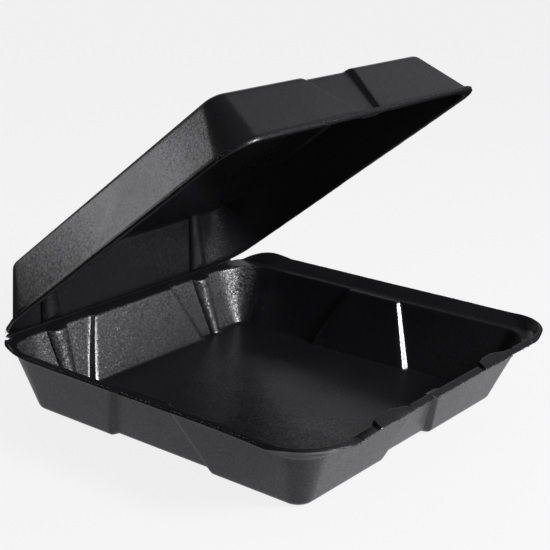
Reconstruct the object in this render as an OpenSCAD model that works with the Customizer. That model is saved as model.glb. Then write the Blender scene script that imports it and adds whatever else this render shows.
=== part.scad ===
// Hinged foam clamshell container: a tray, a lid and the crease hinge between them.
// Millimetres. Origin at the centre of the tray's underside, +X right, -Y front with the lock tabs, +Z up.

/* [Tray] */
// Width of the floor where floor and side walls would meet
floor_w = 184; // [165:1:192]
// Front to back length of the floor where floor and end walls would meet
floor_l = 194; // [170:1:204]
// Inside width of the mouth, shared by tray and lid
mouth_w = 210; // [202:1:236]
// Inside length of the mouth, shared by tray and lid
mouth_l = 221.5; // [212:0.5:244]
// Height of the mouth's edge
tray_h = 39.2; // [35:0.2:60]
// Thickness of the foam
foam_t = 2.5; // [1.6:0.1:3]
// Bend radius outside, between floor and walls
floor_bend = 5; // [4:0.5:7]
// Corner radius of the walls at their foot
foot_corner = 6; // [5:0.5:10]
// Corner radius of the mouth at the front
front_corner = 15; // [14:0.5:20]
// Corner radius of the mouth beside the hinge
back_corner = 27; // [18:0.5:31]

/* [Rim] */
// Rise of the flared rim above the mouth's edge
rim_rise = 5.9; // [3.5:0.1:7]
// Outward run of the flared rim along both sides
rim_run_side = 11.6; // [9:0.1:14]
// Outward run of the flared rim along the front
rim_run_front = 11.5; // [10.5:0.1:14]
// Thickness of the rim at its cut edge along both sides
rim_t = 3.1; // [2:0.1:3.6]
// Thickness of the rim at its cut edge along the front
rim_t_front = 4; // [2.5:0.1:4.6]
// Corner radius of the rim's upper edge at the front
rim_corner = 29; // [24:0.5:36]
// Corner radius of the rim's upper edge beside the hinge
rim_corner_back = 45; // [36:1:52]
// Lift of the rim in the front corners
corner_lift = 1; // [0:0.1:2]
// Depth below the mouth's edge at which the rim leaves the wall outside
rim_root = 4.5; // [3.6:0.1:6]
// Width of the flat ledge between mouth and flared rim along both sides
ledge_side = 3.4; // [2.4:0.1:5]
// Width of the flat ledge between mouth and flared rim along the front
ledge_front = 7; // [5.5:0.1:7.5]
// Width of the flat flange between back wall and hinge crease
hinge_flange = 4.4; // [3.6:0.1:8]

/* [Wall panels] */
// Inward step of a wall panel at the floor
panel_d_foot = 4; // [2:0.1:5]
// Inward step of a wall panel at the mouth
panel_d_mouth = 2.5; // [1:0.1:3.5]
// Width of a side panel at the floor
side_panel_foot = 72; // [50:1:90]
// Width of a side panel at the mouth
side_panel_mouth = 35; // [24:1:60]
// Distance of the side panels from the middle, towards the front
side_panel_shift = 2.7; // [0:0.1:6]
// Width of the front panel at the floor
front_panel_foot = 46; // [30:1:60]
// Width of the front panel at the mouth
front_panel_mouth = 9; // [6:1:30]
// Width of the back panel at the floor
back_panel_foot = 99; // [80:1:106]
// Width of the back panel at the mouth
back_panel_mouth = 67; // [56:1:84]
// Width of the sloped edge round a panel
panel_edge = 1.8; // [1.2:0.1:3.5]

/* [Hinge ribs] */
// Distance of each of the tray's ribs from the middle
rib_x = 63; // [58:0.5:66]
// Distance of each of the lid's ribs from the middle
lid_rib_x = 64; // [58:0.5:66]
// Width of a rib at the mouth
rib_w_mouth = 15; // [10:0.5:16]
// Width of a rib at its far end
rib_w_foot = 8; // [5:0.5:12]
// Depth of a rib at the mouth
rib_d_mouth = 5.5; // [3:0.1:7]
// Depth of a rib at its far end
rib_d_foot = 3.5; // [2:0.1:5]

/* [Lock tabs] */
// Length of each tab along the front rim
tab_l = 29; // [22:0.5:36]
// Distance of each tab from the middle of the front
tab_x = 50; // [44:0.5:56]
// Sideways place of both tabs, towards the left
tab_shift = 7.5; // [0:0.5:12]
// Length of the slot at a tab's left end
tab_slot = 6; // [3:0.5:10]
// Reach of a tab inwards from the rim
tab_reach = 3.7; // [2.5:0.1:4.2]
// Thickness of a tab
tab_t = 2.2; // [1.6:0.1:2.8]
// Rise of a tab above the rim
tab_rise = 0.5; // [0.2:0.1:1.5]

/* [Lid] */
// Width of the lid's top where top and side walls would meet
lid_top_w = 179; // [160:1:190]
// Length of the lid's top where top and end walls would meet
lid_top_l = 195; // [175:1:202]
// Shift of the lid's top towards the front
lid_shift = 4.7; // [2:0.1:7]
// Height of the lid above the mouth's edge
lid_h = 33.2; // [26:0.2:35]
// Bend radius outside, between the lid's top and walls
lid_bend = 6; // [4:0.5:9]
// Corner radius of the lid's mouth and rim beside the hinge
lid_back_corner = 34; // [31:0.5:38]
// Corner radius of the lid's rim at the front
lid_rim_corner = 18; // [14:0.5:22]
// Corner radius of the lid's walls at the top
lid_corner = 6; // [5:0.5:10]
// How far the lid's mouth reaches past the tray's at the front
lid_front = 3; // [1.5:0.1:3.6]
// Width of the lid's front panel at the top
lid_panel_top = 41; // [30:1:56]
// Width of the lid's front panel at the mouth
lid_panel_mouth = 12; // [8:1:28]
// Inward step of the lid's front panel at the top
lid_panel_d = 3.5; // [2:0.1:5]
// Opening angle of the lid
lid_open = 37; // [0:1:140]

/* [Clearances] */
// Gap of each half from the hinge crease
hinge_gap = 0.15; // [0.1:0.05:0.3]
// Gap between the lid's rim and the tray's flared rim
rim_gap = 0.6; // [0.4:0.1:1]
// Gap between the lid's rim and a lock tab
tab_gap = 0.6; // [0.4:0.1:1]

/* [Hidden] */

// Steps in each rounded corner, in each bend and along each tab
corner_steps = 9;
bend_steps = 4;
tab_steps = 14;
// Rounding of the mouth's edge
edge_r = 0.8;
// Crown of the cut edge along the rim
crown = 0.35;
// How far a tab's root lies inside the rim
tab_root = 1.6;
// Shares of a tab's length over which it swings inwards and comes back
tab_swing = 0.22;
tab_return = 0.14;
// Steps across each half round rib
rib_steps = 8;
// Part of each back corner over which the rim's rise dies away
rise_end_from = 0.1;
rise_end_to = 0.6;

// Half sizes of the mouth, and the hinge crease
mx = mouth_w / 2;
my = mouth_l / 2;
hinge_y = my + hinge_flange;
hinge_z = tray_h + hinge_gap;
lid_z = hinge_z + hinge_gap;

// Horizontal thickness and slopes of the tray's walls
wall_t = foam_t / cos(atan((mx - floor_w / 2) / tray_h));
slope_x = (mx + wall_t - floor_w / 2) / tray_h;
slope_y = (my + wall_t - floor_l / 2) / tray_h;
bend_turn = 90 - atan(slope_x);
// Horizontal thickness and slopes of the lid's walls
lid_wall_t = foam_t / cos(atan((mx - lid_top_w / 2) / lid_h));
lid_slope_x = (mx + lid_wall_t - lid_top_w / 2) / lid_h;
lid_slope_f = (my + lid_front + lid_wall_t - lid_top_l / 2 - lid_shift) / lid_h;
lid_slope_b = (my + lid_wall_t - lid_top_l / 2 + lid_shift) / lid_h;
lid_turn = 90 - atan(lid_slope_x);
// Lean of the flared rim along the sides and the front, and the far edge of the hinge flange
rim_a = atan(rim_rise / (rim_run_side - ledge_side));
rim_a_front = atan(rim_rise / (rim_run_front - ledge_front));
flange_end = hinge_flange - hinge_gap;
// Reach of the lid's flat rim along the sides and the front, clear of the flared rim and of the lock tabs
lid_rim_side = ledge_side - rim_gap;
lid_rim_front = min(ledge_front - rim_gap, rim_run_front - tab_reach - crown - tab_gap) - lid_front;

function smooth(t) = let (u = max(0, min(1, t))) u * u * (3 - 2 * u);
function between(a, b, t) = a + (b - a) * t;

// Points along a straight wall, each [place along the wall, inward step]
function panel_at(c, half, d) = [[c - half - panel_edge, 0], [c - half, d], [c + half, d], [c + half + panel_edge, 0]];
function rib_at(c, half, d) = [for (i = [0 : rib_steps])
    let (a = 180 * i / rib_steps) [c - half * cos(a), d * sin(a)]];
function level(marks) = [for (p = marks) [p[0], 0]];

// The four walls' panels and ribs at a share t of the height from floor to mouth
function side_marks(shift, t) = panel_at(shift, between(side_panel_foot, side_panel_mouth, t) / 2,
    between(panel_d_foot, panel_d_mouth, t));
function front_marks(t) = panel_at(0, between(front_panel_foot, front_panel_mouth, t) / 2,
    between(panel_d_foot, panel_d_mouth, t));
function back_marks(t) = panel_at(0, between(back_panel_foot, back_panel_mouth, t) / 2,
    between(panel_d_foot, panel_d_mouth, t));
function rib_marks(x, t) = rib_at(x, between(rib_w_foot, rib_w_mouth, t) / 2,
    between(rib_d_foot, rib_d_mouth, t));
function tray_marks(t) = [
    front_marks(t),
    side_marks(-side_panel_shift, t),
    concat(rib_marks(-rib_x, t), back_marks(t), rib_marks(rib_x, t)),
    side_marks(side_panel_shift, t)];

// A rounded rectangle at one height whose straight runs carry the wall marks
function corner(cx, cy, r, from) = [for (i = [0 : corner_steps])
    let (a = from + 90 * i / corner_steps) [cx + r * cos(a), cy + r * sin(a)]];
function outline(hx, yf, yb, rf, rb, z, marks) = [for (p = concat(
    [for (q = marks[0]) [q[0], -yf + q[1]]],
    corner(hx - rf, rf - yf, rf, -90),
    [for (q = marks[1]) [hx - q[1], q[0]]],
    corner(hx - rb, yb - rb, rb, 0),
    [for (q = marks[2]) [-q[0], yb - q[1]]],
    corner(rb - hx, yb - rb, rb, 90),
    [for (q = marks[3]) [q[1] - hx, -q[0]]],
    corner(rf - hx, rf - yf, rf, 180))) [p[0], p[1], z]];

// A closed skin through a list of outlines, with a flat cap at each end
module loft(rings, first, last) {
    n = len(rings[0]);
    m = len(rings);
    end = n * m + 1;
    polyhedron(
        points = concat([first], [for (r = rings) each r], [last]),
        faces = concat(
            [for (j = [0 : n - 1]) [0, 1 + j, 1 + (j + 1) % n]],
            [for (i = [0 : m - 2], j = [0 : n - 1]) let (a = 1 + i * n + j, b = 1 + i * n + (j + 1) % n)
                each [[a, a + n, b + n], [a, b + n, b]]],
            [for (j = [0 : n - 1]) [end, 1 + (m - 1) * n + (j + 1) % n, 1 + (m - 1) * n + j]]),
        convexity = 10);
}

// Tray walls: one outline at height z, pulled in by inset, on the outer skin (0) or the inner skin (1)
function tray_ring(z, inset, skin) =
    let (t = z / tray_h, pull = inset + skin * wall_t, grow = (1 - skin) * wall_t - inset,
        hx = floor_w / 2 + z * slope_x - pull, hy = floor_l / 2 + z * slope_y - pull)
    outline(hx, hy, hy, between(foot_corner, front_corner, t) + grow,
        between(foot_corner, back_corner, t) + grow, z, tray_marks(t));
function tray_bend_ring(a, r, base, skin) =
    let (z = r - r * cos(a))
    tray_ring(base + z, z * slope_x + r * tan(bend_turn / 2) - r * sin(a), skin);

// Rim outlines: flared along sides and front, flat along the hinge, and between the two in the back corners
function share_at(i) = 1 - smooth((i / corner_steps - rise_end_from) / (rise_end_to - rise_end_from));
function rim_shares(m) = concat(
    [for (q = m[0]) 1], [for (i = [0 : corner_steps]) 1],
    [for (q = m[1]) 1], [for (i = [0 : corner_steps]) share_at(i)],
    [for (q = m[2]) 0], [for (i = [0 : corner_steps]) share_at(corner_steps - i)],
    [for (q = m[3]) 1], [for (i = [0 : corner_steps]) 1]);
function rim_lifts(m) = concat(
    [for (q = m[0]) 0], [for (i = [0 : corner_steps]) sin(180 * i / corner_steps)],
    [for (q = m[1]) 0], [for (i = [0 : corner_steps]) 0],
    [for (q = m[2]) 0], [for (i = [0 : corner_steps]) 0],
    [for (q = m[3]) 0], [for (i = [0 : corner_steps]) sin(180 * i / corner_steps)]);
function rim_ring(side, front, round, z, back, back_z, lift) =
    let (m = [for (q = tray_marks(1)) level(q)],
        rb = between(back_corner, rim_corner_back, side / rim_run_side),
        flared = outline(mx + side, my + front, my + side, round, rb, z, m),
        flat = outline(mx + back, my + front, my + back, round, back_corner + back, back_z, m),
        w = rim_shares(m),
        up = rim_lifts(m))
    [for (i = [0 : len(flared) - 1]) between(flat[i], flared[i], w[i]) + [0, 0, lift * up[i]]];

// The edge where a half's inner walls turn out into its rim
function mouth_ring(front, back_round, z, marks) = outline(mx + edge_r, my + front + edge_r, my + edge_r,
    front_corner + edge_r, back_round + edge_r, z, marks);

module tray_shell() {
    inner_bend = max(floor_bend - foam_t, foam_t);
    out = rim_t * sin(rim_a);
    out_front = rim_t_front * sin(rim_a_front);
    drop = rim_t * cos(rim_a);
    top = tray_h + rim_rise;
    loft(concat(
        [for (i = [0 : bend_steps]) tray_bend_ring(bend_turn * i / bend_steps, floor_bend, 0, 0)],
        [tray_ring(tray_h - rim_root, 0, 0),
         rim_ring(rim_run_side + out, rim_run_front + out_front, rim_corner + out, top - drop,
            flange_end, tray_h - foam_t, corner_lift),
         rim_ring(rim_run_side + out / 2 + crown, rim_run_front + out_front / 2 + crown,
            rim_corner + out / 2 + crown, top - drop / 2, flange_end, tray_h - foam_t / 2, corner_lift),
         rim_ring(rim_run_side, rim_run_front, rim_corner, top, flange_end, tray_h, corner_lift),
         rim_ring(ledge_side, ledge_front, lid_rim_corner + rim_gap, tray_h, flange_end - edge_r, tray_h, 0),
         mouth_ring(0, back_corner, tray_h, tray_marks(1)),
         tray_ring(tray_h - edge_r, 0, 1)],
        [for (i = [bend_steps : -1 : 0]) tray_bend_ring(bend_turn * i / bend_steps, inner_bend, foam_t, 1)]),
        [0, 0, 0], [0, 0, foam_t]);
}

// A lanced tab of the front rim, pushed inwards so that it holds the lid's rim down
rim_y = -my - rim_run_front;
rim_z = tray_h + rim_rise;
function tab_shape(t) = smooth(t / tab_swing) * smooth((1 - t) / tab_return);
module lock_tab(x) {
    loft([for (i = [0 : tab_steps])
        let (t = i / tab_steps, s = tab_shape(t), px = x + (t - 0.5) * tab_l,
            tip = rim_y + tab_reach * s, top = rim_z + tab_rise * s)
        [[px, rim_y - tab_root, rim_z - tab_t - crown], [px, tip, top - tab_t],
         [px, tip + crown, top - tab_t / 2], [px, tip, top - crown],
         [px, (tip + rim_y - tab_root) / 2, top], [px, rim_y - tab_root, rim_z - tab_root / 2]]],
        [x - tab_l / 2, rim_y - tab_root / 2, rim_z - tab_t / 2],
        [x + tab_l / 2, rim_y - tab_root / 2, rim_z - tab_t / 2]);
}

// The slot that the tab's free left end leaves in the rim
module tab_cut(x) {
    translate([x - tab_l / 2, rim_y - tab_root, tray_h + edge_r])
        cube([tab_slot, tab_root + tab_reach / 2, rim_rise + tab_t]);
}

module base_tray() {
    color("dimgray")
        difference() {
            union() {
                tray_shell();
                for (side = [-1, 1]) lock_tab(side * tab_x - tab_shift);
            }
            for (side = [-1, 1]) tab_cut(side * tab_x - tab_shift);
        }
}

// Lid walls in the closed position: one outline at height h above the mouth's edge
function lid_marks(t) = [
    panel_at(0, between(lid_panel_top, lid_panel_mouth, t) / 2, between(lid_panel_d, panel_d_mouth, t)),
    [],
    concat(rib_marks(-lid_rib_x, t), rib_marks(lid_rib_x, t)),
    []];
function lid_ring(h, inset, skin) =
    let (t = 1 - h / lid_h, fall = lid_h - h, pull = inset + skin * lid_wall_t,
        grow = (1 - skin) * lid_wall_t - inset)
    outline(lid_top_w / 2 + fall * lid_slope_x - pull,
        lid_top_l / 2 + lid_shift + fall * lid_slope_f - pull,
        lid_top_l / 2 - lid_shift + fall * lid_slope_b - pull,
        between(lid_corner, front_corner, t) + grow, between(lid_corner, lid_back_corner, t) + grow,
        lid_z + h, lid_marks(t));
function lid_bend_ring(a, r, depth, skin) =
    let (fall = r - r * cos(a))
    lid_ring(lid_h - depth - fall, fall * lid_slope_x + r * tan(lid_turn / 2) - r * sin(a), skin);

// The lid's flat rim lies on the tray's ledge, and its back edge is the other side of the hinge crease
function lid_rim_ring(h, out) = outline(mx + lid_rim_side + out, my + lid_front + lid_rim_front + out,
    my + flange_end, lid_rim_corner + out, lid_back_corner, lid_z + h,
    [for (q = lid_marks(1)) level(q)]);

module lid_shell() {
    inner_bend = max(lid_bend - foam_t, foam_t);
    loft(concat(
        [for (i = [0 : bend_steps]) lid_bend_ring(lid_turn * i / bend_steps, inner_bend, foam_t, 1)],
        [lid_ring(edge_r, 0, 1),
         mouth_ring(lid_front, lid_back_corner, lid_z, lid_marks(1)),
         lid_rim_ring(0, 0),
         lid_rim_ring(foam_t / 2, crown),
         lid_rim_ring(foam_t, 0),
         lid_ring(foam_t + edge_r, 0, 0)],
        [for (i = [bend_steps : -1 : 0]) lid_bend_ring(lid_turn * i / bend_steps, lid_bend, 0, 0)]),
        [0, -lid_shift, lid_z + lid_h - foam_t], [0, -lid_shift, lid_z + lid_h]);
}

module lid() {
    color("slategray")
        translate([0, hinge_y, hinge_z]) rotate([-lid_open, 0, 0]) translate([0, -hinge_y, -hinge_z])
            lid_shell();
}

base_tray();
lid();
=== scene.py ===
import math

import bpy
import numpy as np
from mathutils import Matrix, Vector, noise


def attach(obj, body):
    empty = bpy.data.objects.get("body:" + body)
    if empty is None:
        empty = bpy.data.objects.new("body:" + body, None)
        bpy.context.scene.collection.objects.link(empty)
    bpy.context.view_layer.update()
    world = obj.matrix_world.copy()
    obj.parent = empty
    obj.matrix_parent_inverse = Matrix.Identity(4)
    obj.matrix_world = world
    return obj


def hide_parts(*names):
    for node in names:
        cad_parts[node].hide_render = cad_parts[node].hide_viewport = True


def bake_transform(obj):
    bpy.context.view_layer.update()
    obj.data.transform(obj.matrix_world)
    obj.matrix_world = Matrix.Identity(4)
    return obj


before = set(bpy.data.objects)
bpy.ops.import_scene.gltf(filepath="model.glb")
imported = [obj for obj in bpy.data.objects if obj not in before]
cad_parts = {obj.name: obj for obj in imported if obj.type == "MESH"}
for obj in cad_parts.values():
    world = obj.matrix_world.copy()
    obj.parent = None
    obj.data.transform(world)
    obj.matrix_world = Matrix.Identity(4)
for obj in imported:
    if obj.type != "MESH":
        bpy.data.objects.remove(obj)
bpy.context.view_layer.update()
scene = bpy.context.scene
mm = 0.001
print("frame loaded:", ", ".join(sorted(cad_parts)))

# camera, from lines measured on the picture
camera = {
    "azimuth": -51.257,
    "elevation": 17.838,
    "roll": 0.596,
    "place": (-540.907, -439.670, 301.878),  # mm
    "focal": 1294.793,  # pixels
    "picture": 550,  # pixels across
    "sensor": 36.0,
    "clip": (0.01, 50),  # m
}


def makeCamera(c):
    a, e, r = (math.radians(c[k]) for k in ("azimuth", "elevation", "roll"))
    back = Vector((math.sin(a) * math.cos(e), -math.cos(a) * math.cos(e), math.sin(e)))
    side = Vector((math.cos(a), math.sin(a), 0))
    up = back.cross(side)
    right = side * math.cos(r) + up * math.sin(r)
    top = up * math.cos(r) - side * math.sin(r)
    lens = bpy.data.cameras.new("studioCamera")
    lens.sensor_width = c["sensor"]
    lens.lens = c["focal"] * c["sensor"] / c["picture"]
    lens.clip_start, lens.clip_end = c["clip"]
    eye = bpy.data.objects.new("studioCamera", lens)
    turn = Matrix((right, top, back)).transposed().to_4x4()
    eye.matrix_world = Matrix.Translation(Vector(c["place"]) * mm) @ turn
    scene.collection.objects.link(eye)
    scene.camera = eye


makeCamera(camera)
print("camera placed")

# how finely the formed shells are divided
slopeSteps = 8
ribSteps = 16
cornerSteps = 20
wallRings = 14
bendRings = 9
panelSoft = 0.9  # 0 gives straight panel slopes, 1 fully eased ones
sharpAngle = 62
seedStep = (17.3, 5.1, 9.7)  # how far apart in the noise two seeds lie
waveForm = (1, 1, 0.2)  # slow waves change little with height
fineTear = 0.6  # the finer of two waves along a torn edge


# small helpers for the shells
def smooth(u):
    u = np.clip(u, 0.0, 1.0)
    return u * u * (3.0 - 2.0 * u)


def onset(u, begin, over):
    return smooth((u - begin) / over)


def hump(u, middle, wide):
    return np.exp(-((u - middle) / wide) ** 2)


def between(a, b, t):
    return a + (b - a) * t


def unit(v):
    return v / np.maximum(np.linalg.norm(v, axis=1, keepdims=True), 1e-9)


def evenly(count):
    return np.arange(1, count) / count


def moveAlong(axis, values):
    move = np.zeros((len(values), 3))
    move[:, axis] = values
    return move


def ripple(points, size, seed):  # soft noise from -1 to 1 at each point
    shift = Vector([seed * step for step in seedStep])
    return np.array([noise.noise(Vector(p) / size + shift) for p in points])


def ripples(points, size, seeds):  # slow waves, one for each direction
    return np.stack([ripple(points * waveForm, size, seed) for seed in seeds], 1)


def torn(ring, coarse, fine):  # ragged height along a cut edge: each wave is its length and seed
    return ripple(ring, *coarse) + fineTear * ripple(ring, *fine)


def panelForm(middle, half, edge, depth, crest):  # a stepped panel: places along the wall, inward steps
    u = np.linspace(0, 1, slopeSteps + 1)
    rise = between(u, smooth(u), panelSoft) * depth
    inner = np.linspace(-half, half, crest + 1)[1:-1]
    places = np.concatenate([middle - half - edge * (1 - u), middle + inner, middle + half + edge * u])
    return places, np.concatenate([rise, np.full(len(inner), depth), rise[::-1]])


def ribForm(middle, half, depth):  # a half round rib
    a = np.linspace(0, math.pi, ribSteps + 1)
    return middle - half * np.cos(a), depth * np.sin(a)


def wallRun(low, high, forms, gaps):  # a straight wall's points: place along it and inward step
    places, steps = [], []
    start = low
    for (along, inward), gap in zip(forms, gaps):
        places += [start + (along[0] - start) * gap, along]
        steps += [np.zeros(len(gap)), inward]
        start = along[-1]
    places.append(start + (high - start) * gaps[-1])
    steps.append(np.zeros(len(gaps[-1])))
    return np.concatenate(places), np.concatenate(steps)


def arc(cx, cy, r, first):
    a = np.radians(first + np.linspace(0, 90, cornerSteps + 1))
    return np.stack([cx + r * np.cos(a), cy + r * np.sin(a)], 1)


def outline(hx, yf, yb, rf, rb, z, walls):  # a rounded rectangle, anticlockwise from the front left
    fp, fs = wallRun(rf - hx, hx - rf, *walls["front"])
    rp, rs = wallRun(rf - yf, yb - rb, *walls["right"])
    bp, bs = wallRun(rb - hx, hx - rb, *walls["back"])
    lp, ls = wallRun(rb - yb, yf - rf, *walls["left"])
    flat = np.concatenate([
        np.stack([fp, fs - yf], 1), arc(hx - rf, rf - yf, rf, -90),
        np.stack([hx - rs, rp], 1), arc(hx - rb, yb - rb, rb, 0),
        np.stack([-bp, yb - bs], 1), arc(rb - hx, yb - rb, rb, 90),
        np.stack([ls - hx, -lp], 1), arc(rf - hx, rf - yf, rf, 180)])
    return np.column_stack([flat, np.full(len(flat), z)])


def bezier(a, c, b, count):  # rings from a towards b, both ends left out
    return [(1 - u) ** 2 * a + 2 * u * (1 - u) * c + u * u * b for u in evenly(count)]


def halfway(a, c, b):  # the middle of that curve
    return 0.25 * a + 0.5 * c + 0.25 * b


def drawnThrough(a, m, b):  # what the curve from a to b is drawn towards to pass through m
    return 2 * m - 0.5 * (a + b)


def straight(a, b, count):
    return [between(a, b, u) for u in evenly(count)]


def eased(before, corner, after, r):  # three rings that round off a corner between two faces
    a = corner + unit(before - corner) * r
    c = corner + unit(after - corner) * r
    return [a, halfway(a, corner, c), c]


def shellMesh(name, rings, first, last, marks):  # closed skin through the rings, a pole at each end
    n, m = len(rings[0]), len(rings)
    points = np.concatenate([np.array([first])] + rings + [np.array([last])]) * mm
    j = np.arange(n)
    k = (j + 1) % n
    faces = [np.stack([np.zeros(n, int), 1 + k, 1 + j], 1).tolist()]
    for i in range(m - 1):
        a, b = 1 + i * n + j, 1 + i * n + k
        faces.append(np.stack([a, b, b + n, a + n], 1).tolist())
    end = 1 + (m - 1) * n
    faces.append(np.stack([end + j, end + k, np.full(n, end + n)], 1).tolist())
    mesh = bpy.data.meshes.new(name)
    mesh.from_pydata(points.tolist(), [], [f for part in faces for f in part])
    mesh.polygons.foreach_set("use_smooth", np.ones(len(mesh.polygons), bool))
    for mark, values in marks.items():
        spread = np.concatenate([[values[0][0]]] + values + [[values[-1][0]]])
        mesh.attributes.new(mark, "FLOAT", "POINT").data.foreach_set("value", spread.astype(np.float32))
    mesh.set_sharp_from_angle(angle=math.radians(sharpAngle))
    mesh.update()
    piece = bpy.data.objects.new(name, mesh)
    scene.collection.objects.link(piece)
    return piece


# tray, in mm: first the solids' sizes, then what only the skin has
tray = {
    "floorW": 184, "floorL": 194, "mouthW": 210, "mouthL": 221.5, "high": 39.2,
    "foam": 2.5, "floorBend": 5, "footCorner": 6, "frontCorner": 15, "backCorner": 27,
    "rimRise": 5.9, "runSide": 11.6, "runFront": 11.5, "rimT": 3.1, "rimFrontT": 4.0,
    "rimCorner": 29, "rimCornerBack": 45, "cornerLift": 1.0, "rimRoot": 4.5,
    "ledgeSide": 3.4, "ledgeFront": 7, "ledgeCorner": 18.6, "flange": 4.25,
    "panelFoot": 4, "panelMouth": 2.5, "panelEdge": 1.8,
    "sidePanel": (72, 35), "sideShift": 2.7, "frontPanel": (46, 9), "backPanel": (99, 67),
    "ribX": 63, "ribWide": (8, 15), "ribDeep": (3.5, 5.5),
    # edges
    "mouthRound": 1.2, "crown": 0.35, "edgeRound": 0.45, "thinCorner": 0.6, "ledgeInset": 0.8,
    "rootRise": 0.8, "flareRoot": 0.09, "edgeFrom": 0.8, "lastFlare": 1.3, "lipStart": 0.16, "lipBehind": 0.3,
    "rollOut": 2.2, "rollDown": 2.0, "rollSoft": 2.4, "rollSamples": 7,
    # hinge side: squarer flanges set aside, a raised rim beside them, the wall's top edge turned in
    "flangeCorner": 14, "ledgeBack": 14, "hingeShift": (8.0, 4.0), "hingeReach": 30,
    "backLift": 2.2, "backIn": 2.0, "backDown": 1.5,
    # wear and handling: waves are a length and a seed, corners x, y and reach
    "bow": 0.26, "bowWave": 62.0, "bowSeeds": (11, 12, 13), "bowFrom": (12, 30), "bowLeast": 0.25,
    "rag": 0.22, "ragWaves": ((3.1, 3), (1.3, 4)), "ragCorner": 0.7, "ragTop": 0.4, "ragShift": 5,
    "nearCorner": (-116, -122, 34), "nearSet": (0, 0, -2.3),
    "farCorner": (116, -122, 30), "farSet": (1.1, -1.1, 0), "bendFrom": (10, 26),
    "floorWave": 0.16, "floorRipple": (21.0, 7), "floorEdge": (0.98, 0.2),
    "floorGrain": 0.25, "rimGrain": 0.1, "grainGlintFoot": 0.55,
    # rings
    "cutRings": 8, "flareRings": 8, "shortRings": 5, "wallStart": 0.02,
    "belowShares": (0.08, 0.94, 9), "floorShares": (0.955, 0.05, 22),
}
# lock tabs in the front rim: each pair is left tab, right tab
tabs = {
    "freeEnd": (-66.0, 32.4), "hold": 11.0, "fade": 18.0, "long": 30, "tipShare": 0.62, "swell": 6.0,
    "holeWide": 3.6, "holeEase": 1.6, "holeDrop": 1.9, "holeIn": 1.8,
    "reach": 2.8, "rise": 1.6, "edgeShare": 0.45, "behindShare": 0.1, "fold": (0.2, -2.0),
    "slit": (-38.2, 63.2), "slitWide": 2.6, "slitDrop": 0.9, "sag": (17, 6.5, 0.5),
    "crease": (-81.5, -19.0, 83.0), "creaseWide": 0.8, "creaseDeep": 0.35,
    "pinch": (0.6, -0.8), "pinchEdge": 2,
    "dent": (-79.0, 9.0, 1.5),  # place, width and depth
}
# points along the front wall, in mm
spacing = {
    "before": 8.0, "after": 4.5, "fine": 0.8, "clear": 0.5, "cut": 0.12,
    "wide": 2.0, "middle": 1.6, "beyond": 7, "apart": 1, "crease": 1.3,
}
mouthX, mouthY = tray["mouthW"] / 2, tray["mouthL"] / 2


def frontGaps(edge):  # closer points where the lock tabs are
    s = spacing
    reachX = mouthX + tray["runSide"] - tray["rimCorner"]
    left, right = [], []
    for free, slit, side in zip(tabs["freeEnd"], tabs["slit"], (left, right)):
        fine = np.arange(free - s["before"], slit + s["after"], s["fine"])
        side += list(fine[np.abs(fine - free) > s["clear"]]) + [free - s["cut"], free + s["cut"]]
    left += list(np.arange(-reachX + s["wide"], left[0] - s["apart"], s["wide"]))
    left += list(np.arange(tabs["slit"][0] + s["beyond"], -edge - s["apart"], s["middle"]))
    right += list(np.arange(edge + s["wide"], right[0] - s["apart"], s["middle"]))
    right += list(np.arange(tabs["slit"][1] + s["beyond"], reachX - s["apart"], s["wide"]))
    fold = tabs["creaseWide"] * np.array([-1.0, -0.5, 0.0, 0.5, 1.0])
    for c in tabs["crease"]:
        side = left if c < 0 else right
        side[:] = [p for p in side if abs(p - c) > s["crease"] * tabs["creaseWide"]] + list(c + fold)
    left, right = np.sort(left), np.sort(right)
    return (left + reachX) / (reachX - edge), (right - edge) / (reachX - edge)


trayGaps = {
    "front": frontGaps(tray["frontPanel"][1] / 2 + tray["panelEdge"]),
    "side": (evenly(26), evenly(22)),
    "back": (evenly(5), evenly(7), evenly(7), evenly(5)),
}
panelCrests = {"front": 8, "side": 16, "back": 28}  # steps across each panel


def trayWalls(t, depth=1.0):  # panels and ribs at a share t of the way from floor to mouth
    d = between(tray["panelFoot"], tray["panelMouth"], t) * depth
    edge = tray["panelEdge"]

    def panel(middle, wall):
        return panelForm(middle, between(*tray[wall + "Panel"], t) / 2, edge, d, panelCrests[wall])

    def rib(middle):
        return ribForm(middle, between(*tray["ribWide"], t) / 2, between(*tray["ribDeep"], t) * depth)

    shift, x, side = tray["sideShift"], tray["ribX"], trayGaps["side"]
    return {
        "front": ([panel(0, "front")], trayGaps["front"]),
        "right": ([panel(-shift, "side")], side),
        "back": ([rib(-x), panel(0, "back"), rib(x)], trayGaps["back"]),
        "left": ([panel(shift, "side")], side[::-1]),
    }


wallT = tray["foam"] / math.cos(math.atan((mouthX - tray["floorW"] / 2) / tray["high"]))
slopeX = (mouthX + wallT - tray["floorW"] / 2) / tray["high"]
slopeY = (mouthY + wallT - tray["floorL"] / 2) / tray["high"]
bendTurn = math.pi / 2 - math.atan(slopeX)


def trayRing(z, inset, skin):  # skin 0 outside, 1 inside
    t = z / tray["high"]
    pull = inset + skin * wallT
    grow = (1 - skin) * wallT - inset
    hx, hy = tray["floorW"] / 2 + z * slopeX - pull, tray["floorL"] / 2 + z * slopeY - pull
    return outline(hx, hy, hy, between(tray["footCorner"], tray["frontCorner"], t) + grow,
                   between(tray["footCorner"], tray["backCorner"], t) + grow, z, trayWalls(t))


def trayBend(share, r, base, skin):
    a = bendTurn * share
    z = r - r * math.cos(a)
    return trayRing(base + z, z * slopeX + r * math.tan(bendTurn / 2) - r * math.sin(a), skin)


trayCount = len(trayRing(tray["high"], 0, 1))
walls1 = trayWalls(1.0)
level = trayWalls(1.0, 0.0)
runCounts = [len(wallRun(-1, 1, *walls1[w])[0]) for w in ("front", "right", "back", "left")]


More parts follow.
